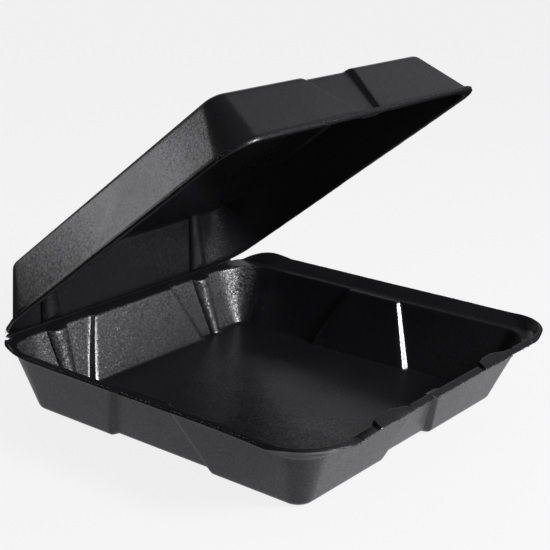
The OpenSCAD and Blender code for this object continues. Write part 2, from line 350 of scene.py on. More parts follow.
def perColumn(front, corner, right, backCorner, back):  # one value for each column of the tray's outline
    c = np.arange(cornerSteps + 1) / cornerSteps
    return np.concatenate([
        np.full(runCounts[0], front), corner(c), np.full(runCounts[1], right), backCorner(c),
        np.full(runCounts[2], back), backCorner(1 - c), np.full(runCounts[3], right), corner(1 - c)])


# where things begin and end in the outline's corners, as shares of a corner seen from the side wall
corners = {
    "flare": (0.12, 0.42), "lift": (0.2, 0.16), "rollBack": (0.3, 0.5), "rollFront": (0, 0.9),
    "grainGlint": (0, 0.35), "leastGrainGlint": 0.1,
}


def nowhere(c):
    return c * 0


# coarse grain and painted glints of the inside: full along the hinge wall, rising through the back corners,
# least on the other walls
def grainGlintIn(c):
    return between(corners["leastGrainGlint"], 1.0, onset(c, *corners["grainGlint"]))


flare = perColumn(1.0, np.ones_like, 1.0, lambda c: 1 - onset(c, *corners["flare"]), 0.0)
lifts = perColumn(0.0, lambda c: np.sin(np.pi * c), 0.0, nowhere, 0.0)
backLifts = perColumn(0.0, nowhere, 0.0, lambda c: hump(c, *corners["lift"]), 0.0)
rolled = perColumn(1.0, lambda c: 1 - onset(c, *corners["rollFront"]), 0.0, nowhere, 0.0)
rolledBack = perColumn(0.0, nowhere, 0.0, lambda c: onset(c, *corners["rollBack"]), 1.0)
hingeSide = perColumn(grainGlintIn(0), lambda c: grainGlintIn(c * 0), grainGlintIn(0), grainGlintIn, 1.0)


def hingeSet(ring, left, right):  # the flanges stand a little to one side at the hinge
    reach = tray["hingeReach"]
    aside = np.where(ring[:, 0] < 0, left, right)
    return ring + moveAlong(0, aside * onset(ring[:, 1], mouthY - reach, reach))


def rimRing(side, front, corner, z, back, backZ, lift):
    rb = between(tray["ledgeBack"], tray["rimCornerBack"], side / tray["runSide"])
    high = outline(mouthX + side, mouthY + front, mouthY + side, corner, rb, z, level)
    flat = outline(mouthX + back, mouthY + front, mouthY + back, corner, tray["flangeCorner"], backZ, level)
    ring = between(hingeSet(flat, *tray["hingeShift"]), high, flare[:, None])
    ring[:, 2] += lift * (lifts + tray["backLift"] * backLifts)
    return ring


def tabMoves(x):  # along the front: how far the tabs are pushed in, their holes, and the slits' notches
    push, drop, notch = np.zeros_like(x), np.zeros_like(x), np.zeros_like(x)
    for free, slit in zip(tabs["freeEnd"], tabs["slit"]):
        held = 1 - onset(x, free + tabs["hold"], tabs["fade"])
        corner = between(tabs["tipShare"], 1.0, onset(x, free, tabs["swell"]))
        push = np.where(x > free, np.maximum(push, held * corner * (x < free + tabs["long"])), push)
        inHole = (x < free) & (x > free - tabs["holeWide"])
        drop = np.where(inHole, onset(x, free - tabs["holeWide"], tabs["holeEase"]), drop)
        notch = np.maximum(notch, 1 - smooth(np.abs(x - slit) / (tabs["slitWide"] / 2)))
    return push, drop, notch * tabs["slitDrop"]


def handled(ring):  # the whole rim bows slightly and two corners are bent, as handled foam is
    share = onset(ring[:, 2], *tray["bowFrom"]) * between(tray["bowLeast"], 1.0, flare)
    wave = ripples(ring, tray["bowWave"], tray["bowSeeds"])
    moved = ring + wave * (tray["bow"] * share)[:, None]
    for corner, move in (("nearCorner", "nearSet"), ("farCorner", "farSet")):
        x, y, reach = tray[corner]
        near = np.exp(-((ring[:, 0] - x) ** 2 + (ring[:, 1] - y) ** 2) / reach ** 2)
        moved += (near * onset(ring[:, 2], *tray["bendFrom"]))[:, None] * np.array([tray[move]])
    return moved


def buildTray():
    v, run, few = tray, runCounts[0], tray["shortRings"]
    inner = max(v["floorBend"] - v["foam"], v["foam"])
    aSide = math.atan(v["rimRise"] / (v["runSide"] - v["ledgeSide"]))
    aFront = math.atan(v["rimRise"] / (v["runFront"] - v["ledgeFront"]))
    out, outFront = v["rimT"] * math.sin(aSide), v["rimFrontT"] * math.sin(aFront)
    drop, top = v["rimT"] * math.cos(aSide), v["high"] + v["rimRise"]
    under = [trayBend(i / bendRings, v["floorBend"], 0, 0) for i in range(bendRings + 1)]
    rootZ = v["high"] - v["rimRoot"]
    wallLow = under[-1][0, 2]
    wall = [trayRing(between(wallLow, rootZ, u), 0, 0) for u in list(evenly(wallRings)) + [1.0]]
    low = rimRing(v["runSide"] + out, v["runFront"] + outFront, v["rimCorner"] + out, top - drop,
                  v["flange"], v["high"] - v["foam"], v["cornerLift"])
    mid = rimRing(v["runSide"] + out / 2 + v["crown"], v["runFront"] + outFront / 2 + v["crown"],
                  v["rimCorner"] + out / 2 + v["crown"], top - drop / 2, v["flange"],
                  v["high"] - v["foam"] / 2, v["cornerLift"])
    high = rimRing(v["runSide"], v["runFront"], v["rimCorner"], top,
                   v["flange"], v["high"], v["cornerLift"])
    ledge = rimRing(v["ledgeSide"], v["ledgeFront"], v["ledgeCorner"], v["high"],
                    v["flange"] - v["ledgeInset"], v["high"], 0)
    soft = v["mouthRound"]
    mouth = outline(mouthX + soft, mouthY + soft, mouthY + soft, v["frontCorner"] + soft,
                    v["backCorner"] + soft, v["high"], walls1)
    along = mouth[:run, 0].copy()  # the rolled front edge passes the panel in a soft line
    reach = v["rollSoft"] * np.linspace(-1, 1, v["rollSamples"])
    mouth[:run, 1] = np.mean([np.interp(along + r, along, mouth[:run, 1]) for r in reach], 0)
    brim = trayRing(v["high"], 0, 1)
    inTop = trayRing(v["high"] - soft, 0, 1)
    roll = rolled[:, None] * np.array([[0, -v["rollOut"], -v["rollDown"]]])
    roll = roll + rolledBack[:, None] * np.array([[0, -v["backIn"], -v["backDown"]]])
    mouth, brim, inTop = mouth + roll, brim + roll, inTop + roll

    # rag along the cut edge, lock tabs, slits and creases, all on the rim's rings
    x = high[:run, 0]
    push, hole, notch = tabMoves(x)
    thin = (v["thinCorner"] * lifts)[:, None]
    low, mid = between(low, high, thin), between(mid, high, thin / 2)
    rag = torn(low, *v["ragWaves"]) * v["rag"] * flare * (1 - v["ragCorner"] * lifts)
    low = low + moveAlong(2, rag)
    high = high + moveAlong(2, v["ragTop"] * np.roll(rag, v["ragShift"]))
    after, wide, deep = tabs["sag"]
    for free in tabs["freeEnd"]:  # the rim sags a little under each tab
        low[:run, 2] -= deep * hump(x, free + after, wide)
    folds = sum(1 - smooth(np.abs(x - c) / tabs["creaseWide"]) for c in tabs["crease"]) * tabs["creaseDeep"]
    bulge, pinch, fold = np.zeros_like(high), np.zeros_like(high), np.zeros_like(high)
    bulge[:run, 1] = push * tabs["reach"] + hole * tabs["holeIn"]
    bulge[:run, 2] = push * tabs["rise"] - hole * tabs["holeDrop"]
    pinch[:run, 1:] = np.outer(folds, tabs["pinch"])  # creases across the lip
    fold[:run, 1:] = np.outer(push, tabs["fold"])  # the tab's own thickness behind its tip
    tip = high + bulge + pinch
    place, wide, deep = tabs["dent"]
    notch = notch + deep * hump(x, place, wide)
    tip[:run, 1] += notch
    tip[:run, 2] -= notch
    control = drawnThrough(low, mid, high) + tabs["edgeShare"] * bulge + tabs["pinchEdge"] * pinch
    behind = between(high, ledge, v["lipBehind"]) + tabs["behindShare"] * bulge
    lipStart = between(high, ledge, v["lipStart"]) + bulge + fold

    cut = bezier(low, control, tip, v["cutRings"])
    lowRound = eased(between(wall[-1], low, v["edgeFrom"]), low, cut[0], v["edgeRound"])
    tipRound = eased(cut[-1], tip, lipStart, v["edgeRound"])
    root = trayRing(rootZ + v["rootRise"], 0, 0)
    flareStart = between(root, low, v["flareRoot"])
    flareRings = bezier(wall[-1], root, flareStart, few) + [flareStart]
    flareRings += straight(flareStart, low, v["flareRings"])
    flareRings.append(low + unit(flareStart - low) * (v["lastFlare"] * v["edgeRound"]))
    lip = [lipStart, behind] + straight(behind, ledge, few) + [ledge]
    shelf = straight(ledge, mouth, few) + [mouth]
    turn = bezier(mouth, brim, inTop, few) + [inTop]
    bendTop = trayBend(1.0, inner, v["foam"], 1)
    inWall = [trayRing(between(v["high"] - soft, bendTop[0, 2], u), 0, 1) + roll * (1 - u) ** 2
              for u in [v["wallStart"]] + list(evenly(wallRings))]
    inBend = [trayBend(1 - i / bendRings, inner, v["foam"], 1) for i in range(bendRings + 1)]
    below = [under[0] * np.array([s, s, 1]) for s in np.linspace(*v["belowShares"])]
    bottom, middle = np.zeros(3), np.array([0, 0, v["foam"]])
    shares = np.linspace(*v["floorShares"])
    inside = [between(middle, inBend[-1], s) for s in shares]
    edge, over = v["floorEdge"]
    for ring, s in zip(inside, shares):  # the floor is never quite flat
        ring[:, 2] += v["floorWave"] * smooth((edge - s) / over) * ripple(ring, *v["floorRipple"])
    # each group of rings: how much of it is cut edge, how much the inside's coarse grain, which on the hinge
    # wall also brings painted glints
    groups = [(0, 0, below + under + wall + flareRings + lowRound), (1, 0, cut),
              (0, v["rimGrain"], tipRound + lip + shelf), (0, 1, turn)]
    # down the inner wall the coarse grain, and with it the painted glints, lessen towards the foot
    groups += [(0, between(1.0, v["grainGlintFoot"], i / len(inWall)), [ring]) for i, ring in enumerate(inWall)]
    groups.append((0, v["floorGrain"], inBend + inside))
    rings = [handled(ring) for _, _, part in groups for ring in part]
    marks = {
        "cutEdge": [np.full(trayCount, float(g)) for g, _, part in groups for _ in part],
        "inside": [g * hingeSide for _, g, part in groups for _ in part],
    }
    piece = shellMesh("trayShell", rings, bottom, middle, marks)
    edgePath = handled(halfway(low, control, tip))
    frontEdge = handled(between(low, control, nubs["frontLow"]))[:run]
    ends = np.cumsum([n for count in runCounts for n in (count, cornerSteps + 1)])
    return piece, (edgePath[ends[1]:ends[2]], edgePath[ends[5]:ends[6]], frontEdge)


# torn foam cells along the cut edges, in mm
nubs = {
    "spacing": 1.5, "radius": 0.34, "stretch": (0.7, 2.4), "flat": 0.8, "wander": 0.5, "seed": 5,
    "frontLow": 0.12, "rough": (0.5, 0.62), "lean": (0.1, 0.1),
}
trayShell, trayEdge = buildTray()
print("tray shell:", len(trayShell.data.polygons), "faces")

# lid: formed shut, then swung open about the crease
lid = {
    "topW": 179, "topL": 195, "shift": 4.7, "high": 33.2, "bend": 6, "backCorner": 34,
    "rimCorner": 18, "corner": 6, "front": 3, "panel": (41, 12), "panelDeep": (3.5, 2.5),
    "ribX": 64, "rimSide": 2.8, "rimFront": 3.4, "open": 37, "gap": 0.15, "hingeOut": 4.4,
    # edges
    "backRound": 1.6, "backDeep": 2.4, "edgeRound": 0.4, "foot": 2.2, "footStart": 0.45,
    "flangeCorner": 14, "hingeShift": (8.0, -1.0), "hingeZone": (26, 20),
    # wear and handling
    "bow": 0.2, "bowWave": 70.0, "bowSeeds": (21, 22, 23), "bowBack": (12, 60), "bowTop": (4, 24),
    "rag": 0.16, "ragWaves": ((2.9, 5), (1.2, 6)), "ragShift": 7,
    "sag": 0.35, "sagRipple": (48.0, 9), "sagEdge": (0.95, 0.3), "sagMean": 0.3,
    # the first value is painted shade on the hinge wall: how much of the cut edge's less shiny finish it gets
    "hingeShade": 0.9, "grain": (0.15, 0.5), "rimGrain": 0.1,
    # rings
    "cutRings": 7, "footRings": 5, "flangeRings": 3, "wallEnd": 0.98, "topShares": (0.06, 0.95, 16),
}
hinge = (mouthY + lid["hingeOut"], tray["high"] + lid["gap"])  # the crease's y and z
lidZ = hinge[1] + lid["gap"]
lidT = tray["foam"] / math.cos(math.atan((mouthX - lid["topW"] / 2) / lid["high"]))
lidSlopeX = (mouthX + lidT - lid["topW"] / 2) / lid["high"]
lidSlopeF = (mouthY + lid["front"] + lidT - lid["topL"] / 2 - lid["shift"]) / lid["high"]
lidSlopeB = (mouthY + lidT - lid["topL"] / 2 + lid["shift"]) / lid["high"]
lidTurn = math.pi / 2 - math.atan(lidSlopeX)
lidGaps = {
    "front": (evenly(34), evenly(34)),
    "side": (evenly(56),),
    "back": (evenly(5), evenly(34), evenly(5)),
}


def lidWalls(t, depth=1.0):
    deep = between(*lid["panelDeep"], t) * depth
    panel = panelForm(0, between(*lid["panel"], t) / 2, tray["panelEdge"], deep, panelCrests["front"])
    half, ribDeep = between(*tray["ribWide"], t) / 2, between(*tray["ribDeep"], t) * depth
    ribs = [ribForm(x, half, ribDeep) for x in (-lid["ribX"], lid["ribX"])]
    return {
        "front": ([panel], lidGaps["front"]), "right": ([], lidGaps["side"]),
        "back": (ribs, lidGaps["back"]), "left": ([], lidGaps["side"]),
    }


def lidRing(h, inset, skin):
    t = 1 - h / lid["high"]
    fall = lid["high"] - h
    pull, grow = inset + skin * lidT, (1 - skin) * lidT - inset
    return outline(lid["topW"] / 2 + fall * lidSlopeX - pull,
                   lid["topL"] / 2 + lid["shift"] + fall * lidSlopeF - pull,
                   lid["topL"] / 2 - lid["shift"] + fall * lidSlopeB - pull,
                   between(lid["corner"], tray["frontCorner"], t) + grow,
                   between(lid["corner"], lid["backCorner"], t) + grow, lidZ + h, lidWalls(t))


def lidBend(share, r, depth, skin):
    a = lidTurn * share
    fall = r - r * math.cos(a)
    inset = fall * lidSlopeX + r * math.tan(lidTurn / 2) - r * math.sin(a)
    return lidRing(lid["high"] - depth - fall, inset, skin)


def lidRim(h, out):
    ring = outline(mouthX + lid["rimSide"] + out, mouthY + lid["front"] + lid["rimFront"] + out,
                   mouthY + tray["flange"], lid["rimCorner"] + out, lid["flangeCorner"], lidZ + h,
                   lidWalls(1.0, 0.0))
    return hingeSet(ring, *lid["hingeShift"])


def swing(points):  # turns shut-lid points open about the crease
    a = math.radians(lid["open"])
    y, z = points[:, 1] - hinge[0], points[:, 2] - hinge[1]
    return np.stack([points[:, 0], hinge[0] + y * math.cos(a) + z * math.sin(a),
                     hinge[1] - y * math.sin(a) + z * math.cos(a)], 1)


def buildLid():
    v, foam, r = lid, tray["foam"], tray["mouthRound"]
    innerBend = max(v["bend"] - foam, foam)
    inBend = [lidBend(i / bendRings, innerBend, foam, 1) for i in range(bendRings + 1)]
    inWall = [lidRing(between(inBend[-1][0, 2] - lidZ, v["backDeep"], u), 0, 1)
              for u in list(evenly(wallRings)) + [v["wallEnd"]]]
    brim = lidRing(0, 0, 1)
    mouth = outline(mouthX + r, mouthY + v["front"] + r, mouthY + v["backRound"], tray["frontCorner"] + r,
                    v["backCorner"] + r, lidZ, lidWalls(1.0))
    low, mid, high = lidRim(0, 0), lidRim(foam / 2, tray["crown"]), lidRim(foam, 0)
    begin, over = v["hingeZone"]
    hinged = onset(brim[:, 1], mouthY - begin, over)
    inTop = between(lidRing(r, 0, 1), lidRing(v["backDeep"], 0, 1), hinged[:, None])
    rag = torn(low, *v["ragWaves"]) * v["rag"] * (1 - hinged)
    low = low - moveAlong(2, rag)
    high = high + moveAlong(2, np.roll(rag, v["ragShift"]))
    cut = bezier(low, drawnThrough(low, mid, high), high, v["cutRings"])
    lowRound = eased(mouth, low, cut[0], v["edgeRound"])
    highRound = eased(cut[-1], high, lidRing(foam + r, 0, 0), v["edgeRound"])
    outBase, footHigh = lidRing(foam, 0, 0), foam + v["foot"]
    foot = bezier(between(high, outBase, v["footStart"]), outBase, lidRing(footHigh, 0, 0), v["footRings"])
    outBend = [lidBend(1 - i / bendRings, v["bend"], 0, 0) for i in range(bendRings + 1)]
    outWall = [lidRing(between(footHigh, outBend[0][0, 2] - lidZ, u), 0, 0)
               for u in [0.0] + list(evenly(wallRings))]
    ceiling = np.array([0, -v["shift"], lidZ + v["high"] - foam])
    crown = np.array([0, -v["shift"], lidZ + v["high"]])
    shares = np.linspace(*v["topShares"])
    inside = [between(ceiling, inBend[0], s) for s in shares]
    outside = [between(crown, outBend[-1], s) for s in shares[::-1]]
    begin, over = v["sagEdge"]
    for ring in inside + outside:  # the wide top sags and waves a touch
        edge = np.abs(ring - ceiling)[:, :2] / np.array([[v["topW"] / 2, v["topL"] / 2]])
        wave = ripple(ring * [1, 1, 0], *v["sagRipple"]) - v["sagMean"]
        ring[:, 2] += v["sag"] * smooth((begin - edge.max(1)) / over) * wave
    turn = [inTop] + bezier(inTop, brim, mouth, v["cutRings"]) + [mouth]
    groups = [(0, tray["floorGrain"], inside + inBend), (0, 1, inWall + turn),
              (0, v["rimGrain"], straight(mouth, low, v["flangeRings"]) + lowRound),
              (1, 0, cut), (0, 0, highRound + foot + outWall + outBend + outside)]
    marks = {  # painted shade: the hinge wall, shaded by the lid, gets the cut edge's less shiny finish; it is also coarser than the rest of the inside
        "cutEdge": [np.maximum(g, v["hingeShade"] * h * hinged) for g, h, part in groups for _ in part],
        "inside": [h * between(*v["grain"], hinged) for _, h, part in groups for _ in part],
    }
    rings = []
    (back, backOver), (under, underOver) = v["bowBack"], v["bowTop"]
    for ring in [ring for _, _, part in groups for ring in part]:
        share = smooth((mouthY - back - ring[:, 1]) / backOver)
        share = share * smooth((lidZ + v["high"] - under - ring[:, 2]) / underOver)
        wave = ripples(ring, v["bowWave"], v["bowSeeds"])
        rings.append(swing(ring + wave * (v["bow"] * share)[:, None]))
    piece = shellMesh("lidShell", rings, swing(ceiling[None])[0], swing(crown[None])[0], marks)
    backFirst = np.roll(np.arange(len(low)), -int(np.argmax(hinged > 0.5)))
    return piece, swing(mid[backFirst][hinged[backFirst] < 0.5])


lidShell, lidEdge = buildLid()
print("lid shell:", len(lidShell.data.polygons), "faces")

# crease: a thin pressed strip that bends between tray and lid, with a bead on its inner side
crease = {
    "ends": (-95.0, 102.0), "endRound": 2.6, "endThin": 0.06, "tip": 0.3, "thick": 1.25, "bead": 0.24,
    "lap": 7, "beadTurn": (30, 240), "columns": 150, "turns": 16,
    "wear": 0.12, "stripWave": (4.0, 3.3, 1.1), "beadWave": (3.0, 7.3, 2.1),
}


def creaseWear(place, wave, y, z):
    return 1 + crease["wear"] * noise.noise(Vector((place / wave, y, z)))


def buildCrease():
    c = crease
    (left, right), (beadStart, beadEnd) = c["ends"], c["beadTurn"]
    last = 90 - lid["open"]
    outer = np.radians(np.linspace(-90 - c["lap"], last + c["lap"], c["turns"]))
    inner = np.radians(np.linspace(last + beadStart, beadEnd, c["turns"] // 2))
    rings = []
    for place in np.linspace(left, right, c["columns"]):
        end = min(1.0, (place - left) / c["endRound"], (right - place) / c["endRound"])
        fat = math.sqrt(max(c["endThin"], 1 - (1 - end) ** 2))
        r = c["thick"] * fat * creaseWear(place, *c["stripWave"])
        bead = c["bead"] * fat * creaseWear(place, *c["beadWave"])
        ys = np.concatenate([r * np.cos(outer), bead * np.cos(inner)])
        zs = np.concatenate([r * np.sin(outer), bead * np.sin(inner)])
        rings.append(np.stack([np.full(len(ys), place), hinge[0] + ys, hinge[1] + zs], 1))
    marks = [np.zeros(len(rings[0])) for _ in rings]
    tips = [np.array([x, hinge[0] + c["tip"], hinge[1]]) for x in (left - c["tip"], right + c["tip"])]
    return shellMesh("hingeCrease", rings, *tips, {"cutEdge": marks, "inside": marks})


hingeCrease = buildCrease()
print("hinge crease:", len(hingeCrease.data.polygons), "faces")


# node helpers
def addNode(tree, kind, **values):
    node = tree.nodes.new(kind)
    for name, value in values.items():
        setattr(node, name, value)
    return node


def setInputs(node, **values):
    for name, value in values.items():
        node.inputs[name.replace("_", " ")].default_value = value


def join(tree, a, b):
    tree.links.new(a, b)


def feed(tree, value, socket):  # joins a socket or sets a constant
    if isinstance(value, bpy.types.NodeSocket):
        join(tree, value, socket)
    else:
        socket.default_value = value


def mathNode(tree, operation, a, b):
    node = addNode(tree, "ShaderNodeMath", operation=operation)
    feed(tree, a, node.inputs[0])
    feed(tree, b, node.inputs[1])
    return node.outputs[0]


def vectorNode(tree, operation, a, b):
    node = addNode(tree, "ShaderNodeVectorMath", operation=operation)
    feed(tree, a, node.inputs[0])
    feed(tree, b, node.inputs["Scale"] if operation == "SCALE" else node.inputs[1])
    return node.outputs["Vector"]


def mixNode(tree, kind, share, a, b):  # kind is FLOAT or RGBA
    node = addNode(tree, "ShaderNodeMix", data_type=kind)
    first, result = {"FLOAT": (2, 0), "RGBA": (6, 2)}[kind]
    feed(tree, share, node.inputs[0])
    feed(tree, a, node.inputs[first])
    feed(tree, b, node.inputs[first + 1])
    return node.outputs[result]


def rangeNode(tree, value, reach, ends, kind="LINEAR"):
    node = addNode(tree, "ShaderNodeMapRange", interpolation_type=kind)
    setInputs(node, From_Min=reach[0], From_Max=reach[1], To_Min=ends[0], To_Max=ends[1])
    join(tree, value, node.inputs["Value"])
    return node.outputs["Result"]


# foam skin: closed cells that each lean a little, and slow mottling, shared by every foam material
grainInputs = {"Large Cells": 1100.0, "Small Cells": 1700.0, "Mottles": 26.0, "Lean": 0.3}
cellLean = {"Small Cells": 1.15, "Large Cells": 0.85}
mottling = {"Detail": 4.0, "Roughness": 0.62}


def foamGrainGroup():
    group = bpy.data.node_groups.new("foamGrain", "ShaderNodeTree")
    face = group.interface
    face.new_socket(name="Vector", in_out="INPUT", socket_type="NodeSocketVector")
    for name, value in grainInputs.items():
        face.new_socket(name=name, in_out="INPUT", socket_type="NodeSocketFloat").default_value = value
    face.new_socket(name="Normal", in_out="OUTPUT", socket_type="NodeSocketVector")
    face.new_socket(name="Mottle", in_out="OUTPUT", socket_type="NodeSocketFloat")
    face.new_socket(name="Gloss", in_out="OUTPUT", socket_type="NodeSocketFloat")
    start, end = addNode(group, "NodeGroupInput"), addNode(group, "NodeGroupOutput")
    leans = []
    for name, share in cellLean.items():
        cell = addNode(group, "ShaderNodeTexVoronoi")
        join(group, start.outputs["Vector"], cell.inputs["Vector"])
        join(group, start.outputs[name], cell.inputs["Scale"])
        lean = vectorNode(group, "SUBTRACT", cell.outputs["Color"], (0.5, 0.5, 0.5))
        leans.append(vectorNode(group, "SCALE", lean, share))
    each = addNode(group, "ShaderNodeSeparateColor")  # one channel of the large cells is their gloss
    join(group, cell.outputs["Color"], each.inputs["Color"])
    join(group, each.outputs["Red"], end.inputs["Gloss"])
    scaled = vectorNode(group, "SCALE", vectorNode(group, "ADD", *leans), start.outputs["Lean"])
    surface = addNode(group, "ShaderNodeNewGeometry")
    tilted = vectorNode(group, "ADD", surface.outputs["Normal"], scaled)
    straightened = addNode(group, "ShaderNodeVectorMath", operation="NORMALIZE")
    join(group, tilted, straightened.inputs[0])
    join(group, straightened.outputs["Vector"], end.inputs["Normal"])
    slow = addNode(group, "ShaderNodeTexNoise")
    setInputs(slow, **mottling)
    join(group, start.outputs["Vector"], slow.inputs["Vector"])
    join(group, start.outputs["Mottles"], slow.inputs["Scale"])
    join(group, slow.outputs["Fac"], end.inputs["Mottle"])
    return group


foamGrain = foamGrainGroup()
skin = {
    "dark": (0.0023, 0.0023, 0.0029, 1), "pale": (0.0042, 0.0042, 0.0051, 1),
    # on the next line, the paler of the colours is painted glints for some cells of the coarsest inside, the
    # tray's hinge wall
    "cut": (0.003, 0.003, 0.0036, 1), "grainGlint": (0.027, 0.027, 0.028, 1), "glintFrom": (0.5, 1.0),
    "spread": (0.3, 0.7), "rough": (0.25, 0.32), "inRough": 0.37, "cutRough": 0.34, "lean": (0.06, 0.17),
    "specular": (0.43, 0.57), "cutSpecular": 0.24, "ior": 1.5,
}
whole = (0.0, 1.0)


def foamMaterial(name, values):
    mat = bpy.data.materials.new(name)
    mat.use_nodes = True
    tree = mat.node_tree
    tree.nodes.clear()
    out = addNode(tree, "ShaderNodeOutputMaterial")
    foam = addNode(tree, "ShaderNodeBsdfPrincipled")
    setInputs(foam, IOR=values["ior"])
    place = addNode(tree, "ShaderNodeTexCoord")
    grain = addNode(tree, "ShaderNodeGroup", node_tree=foamGrain)
    join(tree, place.outputs["Object"], grain.inputs["Vector"])
    edge = addNode(tree, "ShaderNodeAttribute", attribute_name="cutEdge")
    coarse = addNode(tree, "ShaderNodeAttribute", attribute_name="inside")
    atEdge, within = edge.outputs["Fac"], coarse.outputs["Fac"]
    join(tree, rangeNode(tree, within, whole, values["lean"]), grain.inputs["Lean"])
    # mottled skin, cut edges, and painted glints: a paler colour in some cells where the inside is coarsest
    tone = mixNode(tree, "RGBA", grain.outputs["Mottle"], values["dark"], values["pale"])
    tone = mixNode(tree, "RGBA", atEdge, tone, values["cut"])
    glinting = mathNode(tree, "MULTIPLY", rangeNode(tree, within, values["glintFrom"], whole),
                      rangeNode(tree, grain.outputs["Gloss"], values["spread"], whole))
    join(tree, mixNode(tree, "RGBA", glinting, tone, values["grainGlint"]), foam.inputs["Base Color"])
    rough = rangeNode(tree, grain.outputs["Mottle"], values["spread"], values["rough"])
    rough = mixNode(tree, "FLOAT", atEdge, rough, values["cutRough"])
    join(tree, mixNode(tree, "FLOAT", within, rough, values["inRough"]), foam.inputs["Roughness"])
    sheen = rangeNode(tree, grain.outputs["Gloss"], whole, values["specular"])
    sheen = mixNode(tree, "FLOAT", atEdge, sheen, values["cutSpecular"])
    join(tree, sheen, foam.inputs["Specular IOR Level"])
    join(tree, grain.outputs["Normal"], foam.inputs["Normal"])
    join(tree, foam.outputs["BSDF"], out.inputs["Surface"])
    return mat


foamSkin = foamMaterial("foamSkin", skin)
for piece in (trayShell, lidShell, hingeCrease):
    piece.data.materials.append(foamSkin)
print("foam skin set")


def nubTree():
    tree = bpy.data.node_groups.new("edgeNubs", "GeometryNodeTree")
    face = tree.interface
    face.new_socket(name="Geometry", in_out="INPUT", socket_type="NodeSocketGeometry")
    for name in ("Spacing", "Radius", "Shortest", "Longest", "Flat", "Wander"):
        face.new_socket(name=name, in_out="INPUT", socket_type="NodeSocketFloat")
    face.new_socket(name="Seed", in_out="INPUT", socket_type="NodeSocketInt")
    face.new_socket(name="Foam", in_out="INPUT", socket_type="NodeSocketMaterial")
    face.new_socket(name="Geometry", in_out="OUTPUT", socket_type="NodeSocketGeometry")
    start, end = addNode(tree, "NodeGroupInput"), addNode(tree, "NodeGroupOutput")
    path = addNode(tree, "GeometryNodeMeshToCurve")
    join(tree, start.outputs["Geometry"], path.inputs["Mesh"])
    even = addNode(tree, "GeometryNodeResampleCurve", mode="LENGTH")
    join(tree, path.outputs["Curve"], even.inputs["Curve"])
    join(tree, start.outputs["Spacing"], even.inputs["Length"])
    tangent = addNode(tree, "GeometryNodeInputTangent")
    turn = addNode(tree, "FunctionNodeAlignEulerToVector", axis="X")
    join(tree, tangent.outputs["Tangent"], turn.inputs["Vector"])
    wide = addNode(tree, "ShaderNodeCombineXYZ")
    for axis in ("X", "Y", "Z"):
        join(tree, start.outputs["Wander"], wide.inputs[axis])
    offset = addNode(tree, "FunctionNodeRandomValue", data_type="FLOAT_VECTOR")
    join(tree, vectorNode(tree, "SCALE", wide.outputs["Vector"], -1.0), offset.inputs[0])
    join(tree, wide.outputs["Vector"], offset.inputs[1])
    join(tree, start.outputs["Seed"], offset.inputs["Seed"])
    strew = addNode(tree, "GeometryNodeSetPosition")
    join(tree, even.outputs["Curve"], strew.inputs["Geometry"])
    join(tree, offset.outputs[0], strew.inputs["Offset"])
    nub = addNode(tree, "GeometryNodeMeshIcoSphere")
    nub.inputs["Subdivisions"].default_value = 1
    join(tree, start.outputs["Radius"], nub.inputs["Radius"])
    long = addNode(tree, "FunctionNodeRandomValue", data_type="FLOAT")
    join(tree, start.outputs["Shortest"], long.inputs[2])
    join(tree, start.outputs["Longest"], long.inputs[3])
    join(tree, start.outputs["Seed"], long.inputs["Seed"])
    size = addNode(tree, "ShaderNodeCombineXYZ")
    setInputs(size, Y=1.0)
    join(tree, long.outputs[1], size.inputs["X"])
    join(tree, start.outputs["Flat"], size.inputs["Z"])
    place = addNode(tree, "GeometryNodeInstanceOnPoints")
    join(tree, strew.outputs["Geometry"], place.inputs["Points"])
    join(tree, nub.outputs["Mesh"], place.inputs["Instance"])
    join(tree, turn.outputs["Rotation"], place.inputs["Rotation"])
    join(tree, size.outputs["Vector"], place.inputs["Scale"])
    real = addNode(tree, "GeometryNodeRealizeInstances")
    join(tree, place.outputs["Instances"], real.inputs["Geometry"])
    soft = addNode(tree, "GeometryNodeSetShadeSmooth")
    join(tree, real.outputs["Geometry"], soft.inputs["Geometry"])
    coat = addNode(tree, "GeometryNodeSetMaterial")
    join(tree, soft.outputs["Geometry"], coat.inputs["Geometry"])
    join(tree, start.outputs["Foam"], coat.inputs["Material"])
    join(tree, coat.outputs["Geometry"], end.inputs["Geometry"])
    return tree


def socketOf(tree, name):
    return next(i.identifier for i in tree.interface.items_tree if i.name == name and i.in_out == "INPUT")


def makeNubs(name, path, tree, mat):
    points = (path * mm).tolist()
    line = bpy.data.meshes.new(name + "Path")
    line.from_pydata(points, [(i, i + 1) for i in range(len(points) - 1)], [])
    carrier = bpy.data.objects.new(name + "Path", line)
    scene.collection.objects.link(carrier)
    grow = carrier.modifiers.new("nubs", "NODES")
    grow.node_group = tree
    values = {
        "Spacing": nubs["spacing"] * mm, "Radius": nubs["radius"] * mm, "Shortest": nubs["stretch"][0],
        "Longest": nubs["stretch"][1], "Flat": nubs["flat"], "Wander": nubs["wander"] * mm,
        "Seed": nubs["seed"], "Foam": mat,
    }
    for key, value in values.items():
        grow[socketOf(tree, key)] = value
    bpy.context.view_layer.update()
    done = carrier.evaluated_get(bpy.context.evaluated_depsgraph_get())
    mesh = bpy.data.meshes.new_from_object(done)
    mesh.name = name
    bpy.data.objects.remove(carrier)
    piece = bpy.data.objects.new(name, mesh)
    scene.collection.objects.link(piece)
    return piece


nubGrowth = nubTree()
nubFoam = foamMaterial("nubFoam", dict(skin, rough=nubs["rough"], lean=nubs["lean"]))
trayNubs = [makeNubs("trayEdgeNubs" + side, path, nubGrowth, nubFoam)
            for side, path in zip(("Right", "Left", "Front"), trayEdge)]
lidNubs = makeNubs("lidEdgeNubs", lidEdge, nubGrowth, nubFoam)
print("edge nubs:", sum(len(piece.data.polygons) for piece in trayNubs + [lidNubs]), "faces")

